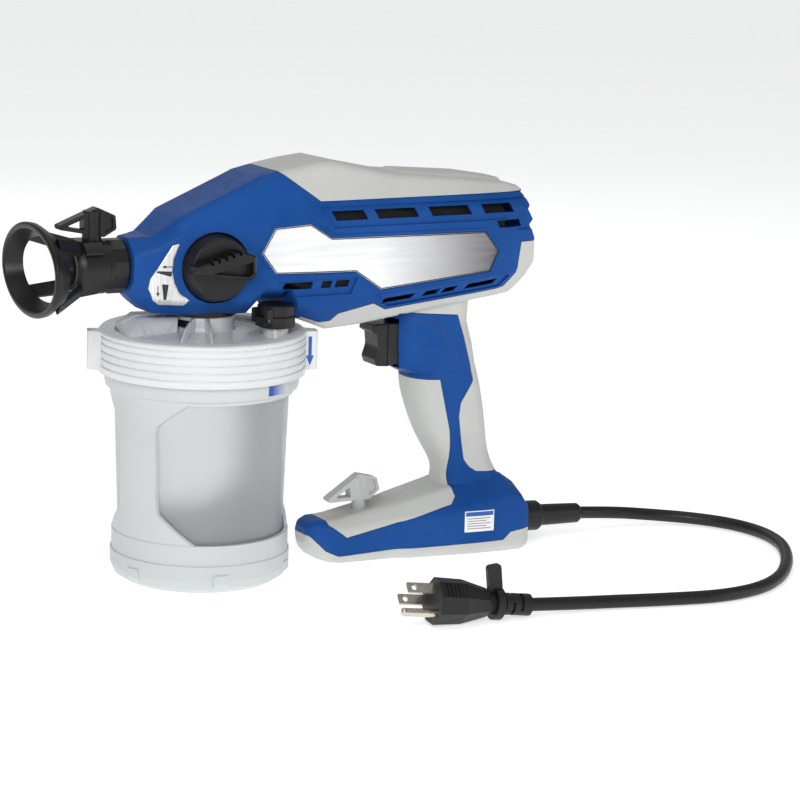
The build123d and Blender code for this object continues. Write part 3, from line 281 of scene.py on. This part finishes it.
M = {
    "ink_fade": fading_ink("fading_blue_ink", 0.019, 0.031),
    "blue": moulded("blue_housing_plastic", BLUE, 0.42, grain=0.30, wear=0.16, shade=0.10, gloss=0.10),
    # painted shade: the housing blue plastic darkened, used only for the shade lines on the shells
    "blue_painted_shade": moulded("painted_shade_blue_plastic", BLUE_PAINTED_SHADE, 0.45, wear=0.1),
    "grey": moulded("warm_grey_plastic", WARM_GREY, 0.48, grain=0.32, wear=0.10, shade=0.035),
    "grey_tip": moulded("grey_tip_plastic", (0.47, 0.48, 0.47), 0.42, wear=0.15, shade=0.06),
    "black": moulded("black_satin_plastic", BLACK, 0.36, grain=0.35, wear=0.16, shade=0.2, gloss=0.34),
    "black_matt": moulded("black_inner_plastic", (0.006, 0.006, 0.007), 0.7, wear=0.0),
    "white_nylon": moulded("white_nylon", (0.70, 0.70, 0.66), 0.5, shade=0.05),
    "steel": metal("turned_steel", (0.60, 0.59, 0.57), 0.28),
    "bright": metal("bright_seal_metal", (0.80, 0.77, 0.70), 0.16, brush=(1.0, 1.0, 20.0)),
    "prongs": metal("nickel_prongs", (0.76, 0.70, 0.60), 0.24, brush=(1.0, 20.0, 20.0)),
    "alloy": metal("cast_alloy", (0.58, 0.58, 0.58), 0.5, brush=(4.0, 4.0, 4.0), bump=0.5),
    "copper": metal("copper_windings", (0.75, 0.36, 0.18), 0.35, brush=(90.0, 3.0, 3.0), bump=0.6),
    "gear": metal("gear_steel", (0.45, 0.45, 0.46), 0.35),
    "motor": metal("painted_motor_can", (0.12, 0.12, 0.13), 0.45),
    "board": moulded("circuit_board", (0.03, 0.16, 0.07), 0.4, wear=0.0),
    "support": milky("support_polypropylene", SUPPORT_GREY, 0.06, 0.42, ripple=0.12, haze=0.04),
    "liner": milky("liner_film", (0.93, 0.945, 0.955), 0.84, 0.34, ripple=0.25, haze=0.05),
    "lid": milky("lid_polyethylene", (0.84, 0.865, 0.88), 0.28, 0.24, ripple=0.05, haze=0.04),
    "collar": milky("collar_polypropylene", (0.90, 0.915, 0.92), 0.22, 0.33, ripple=0.10, haze=0.04),
    "cord": rubbery("cord_rubber", (0.006, 0.006, 0.0065), 0.40),
    "plug": rubbery("plug_rubber", (0.006, 0.006, 0.0065), 0.42),
    "badge": badge_material("badge_plate"),
    "label": label_material("foil_label"),
    "paper": moulded("printed_label_film", (0.84, 0.85, 0.86), 0.35, grain=0.1, wear=0.0, shade=0.03),
    "ink_black": ink("black_ink", (0.012, 0.012, 0.013)),
    "ink_blue": ink("blue_ink", (0.012, 0.085, 0.36)),
    "ink_grey": ink("grey_ink", (0.22, 0.22, 0.23)),
    # painted shade: a near-black sheet inside the housing, standing in for the shade seen through the vents
    "shade_sheet": moulded("painted_shade_black_sheet", (0.004, 0.004, 0.004), 0.9, wear=0.0),
}

NODE_MATERIAL = {
    "left_shell": "blue", "right_shell": "blue",
    "top_cover": "grey", "rear_grip": "grey", "front_grip": "grey", "base_skid": "grey",
    "outlet_tube": "steel", "guard_nut": "black", "tip_guard": "black", "tip_seal": "bright",
    "spray_tip": "black", "tip_barrel": "bright", "spare_tip": "grey_tip", "spare_barrel": "steel",
    "prime_knob": "black", "prime_valve_stem": "steel", "pump_block": "alloy", "cylinder_sleeve": "steel",
    "sleeve_nut": "steel", "cup_adapter": "black", "inlet_valve_seat": "steel", "inlet_ball": "bright",
    "pump_piston": "steel", "front_bulkhead": "motor", "piston_spring": "steel", "motor_can": "motor",
    "motor_bearings": "steel", "motor_shaft": "steel", "armature": "copper", "cooling_fan": "black",
    "pinion": "gear", "drive_gear": "white_nylon", "gear_shaft": "steel", "swash_plate": "gear",
    "gear_plate": "motor", "control_board": "board", "trigger": "black", "trigger_spring": "steel",
    "trigger_switch": "black", "wire_harness": "cord", "cup_support": "support", "cup_liner": "liner",
    "cup_lid": "lid", "lid_gasket": "black_matt", "inlet_strainer": "white_nylon", "vent_fitting": "black",
    "vent_cap": "black", "vent_pin": "steel", "locking_collar": "collar", "strain_relief": "cord",
    "power_cord": "cord", "plug_body": "plug", "plug_prongs": "prongs", "plug_strap": "plug",
    "shell_screws": "steel", "left_badge": "badge", "right_badge": "badge", "mode_label": "label",
    "rating_label": "paper",
}
BEVELS = {
    "left_shell": 0.7, "right_shell": 0.7, "top_cover": 0.8, "rear_grip": 0.6, "front_grip": 0.8, "base_skid": 0.9,
    "tip_guard": 0.5, "guard_nut": 0.5, "spray_tip": 0.5, "spare_tip": 0.5, "prime_knob": 0.5, "trigger": 0.4,
    "cup_support": 0.6, "locking_collar": 0.0, "vent_fitting": 0.35, "vent_cap": 0.5,
    "strain_relief": 0.5, "plug_body": 0.8, "plug_prongs": 0.2, "plug_strap": 0.5, "cup_adapter": 0.4,
}


def round_edges(obj, width_mm):
    """Welds the mesh's split corners, rounds its sharp edges and evens out its shading."""
    obj.data.shade_smooth()
    weld = obj.modifiers.new("weld", "WELD")
    weld.merge_threshold = 0.00001
    if width_mm:
        bevel = obj.modifiers.new("round", "BEVEL")
        bevel.width = width_mm * MM
        bevel.segments = 3
        bevel.limit_method = "ANGLE"
        bevel.angle_limit = math.radians(28)
        bevel.use_clamp_overlap = True
        bevel.harden_normals = True
        bevel.miter_outer = "MITER_ARC"
    normals = obj.modifiers.new("normals", "WEIGHTED_NORMAL")
    normals.keep_sharp = True
    normals.weight = 90


for node, key in NODE_MATERIAL.items():
    obj = NODES[node]
    obj.data.materials.clear()
    obj.data.materials.append(M[key])
    round_edges(obj, BEVELS.get(node, 0.0))


# ---- small visible pieces ----------------------------------------------------------------
def surface_of(*nodes):
    """Search trees of CAD nodes' surfaces."""
    trees = []
    for name in nodes:
        mesh = NODES[name].data
        points = [v.co for v in mesh.vertices]
        trees.append(BVHTree.FromPolygons(points, [tuple(p.vertices) for p in mesh.polygons]))
    return trees


def hit(trees, origin, direction):
    """Nearest point where a ray meets any of the surfaces, or None."""
    best = None
    for tree in trees:
        place, _, _, distance = tree.ray_cast(origin, direction)
        if place is not None and (best is None or distance < best[1]):
            best = (place, distance)
    return best[0] if best else None


def new_piece(name, mesh_builder, material, body):
    """A mesh object from a bmesh, with its material, riding on a body."""
    mesh = bpy.data.meshes.new(name)
    mesh_builder.normal_update()
    mesh_builder.to_mesh(mesh)
    mesh_builder.free()
    piece = bpy.data.objects.new(name, mesh)
    bpy.context.scene.collection.objects.link(piece)
    piece.data.materials.append(material)
    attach(piece, body)
    return piece


def side_print(name, outlines, nodes, material, body, lift=0.06, cell=1.5):
    """Flat shapes in (x, z) millimetres laid on the -Y side of CAD nodes, a hair above them."""
    trees = surface_of(*nodes)
    bm = bmesh.new()
    for outline in outlines:
        ring = []
        for k, (x, z) in enumerate(outline):
            nx, nz = outline[(k + 1) % len(outline)]
            steps = max(1, int(math.hypot(nx - x, nz - z) / cell))
            for s in range(steps):
                along = s / steps
                ring.append(bm.verts.new(((x + (nx - x) * along) * MM, 0.0, (z + (nz - z) * along) * MM)))
        edges = [bm.edges.new((ring[k], ring[(k + 1) % len(ring)])) for k in range(len(ring))]
        bmesh.ops.triangle_fill(bm, edges=edges, use_beauty=True)
    for _ in range(2):
        long_edges = [e for e in bm.edges if e.calc_length() > 2.5 * cell * MM]
        if long_edges:
            bmesh.ops.subdivide_edges(bm, edges=long_edges, cuts=1)
            bmesh.ops.triangulate(bm, faces=bm.faces[:])
    for v in bm.verts:
        place = hit(trees, Vector((v.co.x, -0.12, v.co.z)), Vector((0, 1, 0)))
        if place is not None:
            v.co.y = place.y - lift * MM
    return new_piece(name, bm, material, body)


def offset_ring(outline, amount):
    """The outline moved outwards by amount, with mitred corners."""
    area = sum(a[0] * b[1] - b[0] * a[1] for a, b in zip(outline, outline[1:] + outline[:1]))
    sign = 1.0 if area > 0 else -1.0
    moved = []
    for k, (x, z) in enumerate(outline):
        px, pz = outline[k - 1]
        nx, nz = outline[(k + 1) % len(outline)]
        a = Vector((x - px, z - pz)).normalized()
        b = Vector((nx - x, nz - z)).normalized()
        na = Vector((a.y, -a.x)) * sign
        nb = Vector((b.y, -b.x)) * sign
        mitre = (na + nb).normalized()
        reach = amount / max(0.35, mitre.dot(na))
        moved.append((x + mitre.x * reach, z + mitre.y * reach))
    return moved


def raised_band(name, outline, inner, outer, lift, nodes, material, body, side=-1):
    """A low raised rim round an outline on the housing's side, rounded across."""
    trees = surface_of(*nodes)
    profile = [(0.0, -0.35), (0.12, 0.72), (0.35, 1.0), (0.65, 1.0), (0.88, 0.72), (1.0, -0.35)]
    loops = [offset_ring(outline, inner + (outer - inner) * across) for across, _ in profile]
    bm = bmesh.new()
    rows = []
    count = len(outline)
    for k in range(count):
        n = (k + 1) % count
        length = math.dist(outline[k], outline[n])
        steps = max(2, int(length / 3.0))
        for s in range(steps):
            t = s / steps
            row = []
            for loop, (_, height) in zip(loops, profile):
                x = loop[k][0] + (loop[n][0] - loop[k][0]) * t
                z = loop[k][1] + (loop[n][1] - loop[k][1]) * t
                place = hit(trees, Vector((x * MM, side * 0.12, z * MM)), Vector((0, -side, 0)))
                y = place.y if place is not None else side * 0.030
                row.append(bm.verts.new((x * MM, y + side * height * lift * MM, z * MM)))
            rows.append(row)
    for k, row in enumerate(rows):
        after = rows[(k + 1) % len(rows)]
        for c in range(len(profile) - 1):
            bm.faces.new((row[c], after[c], after[c + 1], row[c + 1]))
    bmesh.ops.recalc_face_normals(bm, faces=bm.faces[:])
    for face in bm.faces:
        face.smooth = True
    return new_piece(name, bm, material, body)


BADGE = [
    (23, 193), (31, 207.2), (53, 208.8), (67, 200), (170, 199.2), (180, 187.5), (174, 175.4),
    (100, 168.5), (83, 180), (32, 181),
]
# paths (x, z in mm) of the painted shade lines along the handle panel's edge and the base's fold
PANEL_SHADE_PATH = [(127.0, 147.0), (147.6, 143.6), (151.5, 139.0), (159.6, 112.5), (156.4, 107.4), (151.2, 106.6)]
FOLD_SHADE_PATH = [(84.0, 14.0), (121.0, 19.6), (150.0, 21.6), (177.0, 25.6), (190.0, 33.0), (200.0, 41.5)]


def ribbon(points, width):
    """A closed outline round a polyline, width across."""
    left = []
    right = []
    for k, (x, z) in enumerate(points):
        a = Vector(points[max(k - 1, 0)])
        b = Vector(points[min(k + 1, len(points) - 1)])
        along = (b - a).normalized()
        normal = Vector((-along.y, along.x)) * width / 2
        left.append((x + normal.x, z + normal.y))
        right.append((x - normal.x, z - normal.y))
    return left + right[::-1]


def arrow(x0, z0, x1, z1, shaft, head):
    """An arrow outline from the first point to the second."""
    tail = Vector((x0, z0))
    tip = Vector((x1, z1))
    along = (tip - tail).normalized()
    across = Vector((-along.y, along.x))
    neck = tip - along * head * 1.3
    points = [
        tail + across * shaft / 2, neck + across * shaft / 2, neck + across * head / 2, tip,
        neck - across * head / 2, neck - across * shaft / 2, tail - across * shaft / 2,
    ]
    return [tuple(p) for p in points]


def housing_details():
    """Rims and borders of the badges, the knob label's pictograms, painted shade lines along the handle panel's
    edge and the base's fold, and the small label's print.
    """
    shells = ("left_shell",)
    raised_band("left_badge_rim", BADGE, 0.55, 2.6, 0.55, shells, M["blue"], "housing")
    raised_band(
        "right_badge_rim", BADGE, 0.55, 2.6, 0.55, ("right_shell",), M["blue"], "housing", side=1,
    )
    border = offset_ring(BADGE, -0.15)
    inner = offset_ring(BADGE, -0.75)
    strips = []
    for k in range(len(BADGE)):
        n = (k + 1) % len(BADGE)
        strips.append([border[k], border[n], inner[n], inner[k]])
    side_print("left_badge_border", strips, ("left_badge",), M["ink_black"], "housing")
    icons = [
        [(-39.6, 184.2), (-39.6, 185.2), (-29.6, 184.6), (-29.6, 181.2)],
        arrow(-30.6, 187.4, -36.6, 187.4, 0.55, 1.9),
        [(-36.4, 177.6), (-32.6, 177.2), (-33.9, 168.6), (-35.4, 168.6)],
        arrow(-38.6, 176.4, -38.6, 170.2, 0.55, 1.9),
    ]
    side_print("mode_pictograms", icons, ("mode_label",), M["ink_black"], "housing", cell=1.0)
    # painted shade: dark blue ribbons along the handle panel's edge and the base's fold
    side_print(
        "handle_panel_painted_shade", [ribbon(PANEL_SHADE_PATH, 0.55)], shells, M["blue_painted_shade"], "housing",
        lift=0.04, cell=2.0,
    )
    side_print(
        "base_fold_painted_shade", [ribbon(FOLD_SHADE_PATH, 0.4)], shells, M["blue_painted_shade"], "housing",
        lift=0.04, cell=2.0,
    )
    header = [(165.1, 24.4), (183.4, 24.4), (183.4, 27.0), (165.1, 27.0)]
    side_print("label_header", [header], ("rating_label",), M["ink_blue"], "housing")
    rows = []
    for k in range(5):
        z = 22.6 - 1.55 * k
        end = 181.8 - 3.0 * (k % 2)
        rows.append([(166.2, z), (166.2, z + 0.5), (end, z + 0.5), (end, z)])
    side_print("label_rules", rows, ("rating_label",), M["ink_grey"], "housing")


# Half widths and heights of the painted-shade sheet inside the housing: (x, top, z top, side, z, z, bottom, z
# bottom).
SHADE_SHEET = [
    (40.0, 15.0, 232.0, 25.5, 208.0, 176.0, 13.0, 171.0), (62.0, 16.0, 236.0, 27.2, 208.0, 166.0, 15.0, 153.0),
    (100.0, 15.5, 229.0, 27.2, 210.0, 168.0, 15.5, 153.5), (150.0, 15.0, 224.0, 27.2, 211.0, 172.0, 15.5, 159.5),
    (186.0, 13.5, 221.0, 26.0, 210.0, 177.0, 14.0, 163.5),
]


def inner_shade_sheet():
    """Black sheet of painted shade that lines the housing behind the vents, so the vents look dark."""
    bm = bmesh.new()
    loops = []
    for x, th, tz, sh, st, sl, bh, bz in SHADE_SHEET:
        pts = [(th, tz), (sh, st), (sh, sl), (bh, bz), (-bh, bz), (-sh, sl), (-sh, st), (-th, tz)]
        loops.append([bm.verts.new((x * MM, y * MM, z * MM)) for y, z in pts])
    for a, b in zip(loops, loops[1:]):
        for k in range(len(a)):
            n = (k + 1) % len(a)
            bm.faces.new((a[k], a[n], b[n], b[k]))
    piece = new_piece("inner_painted_shade_sheet", bm, M["shade_sheet"], "housing")
    thick = piece.modifiers.new("thickness", "SOLIDIFY")
    thick.thickness = 0.0004
    thick.offset = -1.0
    return piece


def round_print(name, centre_deg, z_mid, half_width, half_height, radius, material, body):
    """A rectangular print wrapped on a round part of that radius about Z."""
    bm = bmesh.new()
    steps = 12
    columns = []
    for k in range(steps + 1):
        turn = math.radians(centre_deg) + half_width * (2.0 * k / steps - 1.0) / radius
        x, y = radius * MM * math.cos(turn), radius * MM * math.sin(turn)
        columns.append([bm.verts.new((x, y, (z_mid + v) * MM)) for v in (-half_height, half_height)])
    for a, b in zip(columns, columns[1:]):
        bm.faces.new((a[0], b[0], b[1], a[1]))
    return new_piece(name, bm, material, body)


TAB_DEG = 339.0
TAB_FACE = (5.47, 62.2)
TAB_LEAN = Vector((-0.09, 0.996)).normalized()
RING_PRINT_R = 56.66


def cup_prints():
    """Blue closing arrow on the collar's tab, and the blue mark that fades out on the cup's ring."""
    turn = math.radians(TAB_DEG)
    out = Vector((math.cos(turn), math.sin(turn), 0.0))
    side = Vector((out.y, -out.x, 0.0))
    bm = bmesh.new()
    points = []
    for u, z in arrow(0.0, 142.6, 0.0, 125.4, 2.0, 4.6):
        flat = Vector(TAB_FACE) + TAB_LEAN * u
        points.append(side * (flat.x * MM) + out * (flat.y * MM) + Vector((0, 0, z * MM)))
    for corners in ((0, 1, 5, 6), (2, 3, 4)):
        bm.faces.new([bm.verts.new(points[k]) for k in corners])
    new_piece("collar_tab_arrow", bm, M["ink_blue"], "collar")
    round_print("cup_ring_mark", 295.5, 118.0, 8.6, 2.9, RING_PRINT_R, M["ink_fade"], "cup")


# ---- camera and light --------------------------------------------------------------------
CAMERA_ANGLES = (29.5, 11.7, 1.7)  # azimuth, elevation and roll in degrees
CAMERA_TARGET = (0.1326, 0.0, 0.0938)
CAMERA_DISTANCE = 1.742
CAMERA_LENS = 129.6


def photo_camera():
    """The camera at the photograph's place."""
    azimuth, elevation, roll = (math.radians(v) for v in CAMERA_ANGLES)
    back = Vector((
        -math.sin(azimuth) * math.cos(elevation), -math.cos(azimuth) * math.cos(elevation), math.sin(elevation),
    ))
    right = (-back).cross(Vector((0, 0, 1))).normalized()
    up = right.cross(-back)
    side = right * math.cos(roll) + up * math.sin(roll)
    top = -right * math.sin(roll) + up * math.cos(roll)
    data = bpy.data.cameras.new("camera")
    data.sensor_width = 36.0
    data.lens = CAMERA_LENS
    data.clip_start = 0.05
    data.clip_end = 20.0
    camera = bpy.data.objects.new("camera", data)
    place = Vector(CAMERA_TARGET) + back * CAMERA_DISTANCE
    camera.matrix_world = Matrix((
        (side.x, top.x, back.x, place.x), (side.y, top.y, back.y, place.y), (side.z, top.z, back.z, place.z),
        (0, 0, 0, 1),
    ))
    bpy.context.scene.collection.objects.link(camera)
    bpy.context.scene.camera = camera


def area_light(name, place, target, size, power):
    """A soft rectangular light aimed at a point."""
    data = bpy.data.lights.new(name, "AREA")
    data.shape = "RECTANGLE"
    data.size, data.size_y = size
    data.energy = power
    light = bpy.data.objects.new(name, data)
    light.location = place
    aim = Vector(target) - Vector(place)
    light.rotation_euler = aim.to_track_quat("-Z", "Y").to_euler()
    bpy.context.scene.collection.objects.link(light)


FLOOR_REACH = 30.0
FLOOR_DROP = 0.0004        # keeps the floor a hair under the cup's foot
LIGHT_AIM = (0.1, 0.0, 0.1)
LIGHTS = [                 # name, place, aim, size, power
    ("key", (-0.9, -1.5, 0.95), LIGHT_AIM, (1.1, 0.8), 18.0),
    ("fill", (1.5, -1.3, 0.5), LIGHT_AIM, (0.9, 0.9), 4.5),
    ("top", (0.1, 0.1, 1.9), LIGHT_AIM, (1.8, 1.6), 7.0),
    ("rim", (0.5, 1.5, 0.8), (0.1, 0.0, 0.12), (1.4, 0.6), 1.5),
]


def studio():
    """White world, four soft lights and a plain pale floor."""
    world = bpy.data.worlds.new("studio")
    bpy.context.scene.world = world
    world.use_nodes = True
    background = world.node_tree.nodes["Background"]
    background.inputs["Color"].default_value = (0.97, 0.985, 1.0, 1.0)
    background.inputs["Strength"].default_value = 0.30
    bpy.context.scene.view_settings.view_transform = "Standard"
    for light in LIGHTS:
        area_light(*light)
    floor_mesh = bpy.data.meshes.new("floor")
    s = FLOOR_REACH
    floor_mesh.from_pydata([(-s, -s, 0), (s, -s, 0), (s, s, 0), (-s, s, 0)], [], [(0, 1, 2, 3)])
    floor = bpy.data.objects.new("floor", floor_mesh)
    floor.location.z = -FLOOR_DROP
    bpy.context.scene.collection.objects.link(floor)
    pale = Mat("pale_floor")
    pale.colour(pale.mix(pale.noise(3.0), (0.90, 0.903, 0.906), (0.92, 0.923, 0.926)))
    pale.set(Roughness=0.75, Emission_Color=(1.0, 1.0, 1.0, 1.0), Emission_Strength=0.56)
    floor.data.materials.append(pale.mat)


# ---- the cord ----------------------------------------------------------------------------
ROUTE_MM = [
    (264.0, 0.0, 11.2), (290.0, 0.6, 8.9), (318.0, -5.0, 5.8), (342.0, -19.0, 4.3),
    (357.0, -40.0, 3.95), (361.5, -66.0, 3.9), (356.0, -91.0, 3.9), (344.0, -113.0, 3.9),
    (328.0, -135.0, 3.9), (307.0, -157.0, 3.9), (281.0, -173.0, 3.9), (250.0, -178.0, 3.9),
    (216.0, -171.0, 3.9), (184.0, -162.5, 4.0), (157.0, -158.5, 4.8), (130.95, -156.85, 6.6),
]
CORD_R = 0.00385


def power_cord():
    """The mains cord as a swept curve, in place of the plain CAD tube."""
    data = bpy.data.curves.new("mains_cord", "CURVE")
    data.dimensions = "3D"
    spline = data.splines.new("NURBS")
    spline.points.add(len(ROUTE_MM) - 1)
    for point, (x, y, z) in zip(spline.points, ROUTE_MM):
        point.co = (x * MM, y * MM, z * MM, 1.0)
    spline.order_u = 3
    spline.use_endpoint_u = True
    spline.resolution_u = 16
    data.bevel_depth = CORD_R
    data.bevel_resolution = 8
    cord = bpy.data.objects.new("mains_cord", data)
    bpy.context.scene.collection.objects.link(cord)
    cord.data.materials.append(M["cord"])
    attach(cord, "housing")
    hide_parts("power_cord")


photo_camera()
studio()
power_cord()
housing_details()
inner_shade_sheet()
cup_prints()
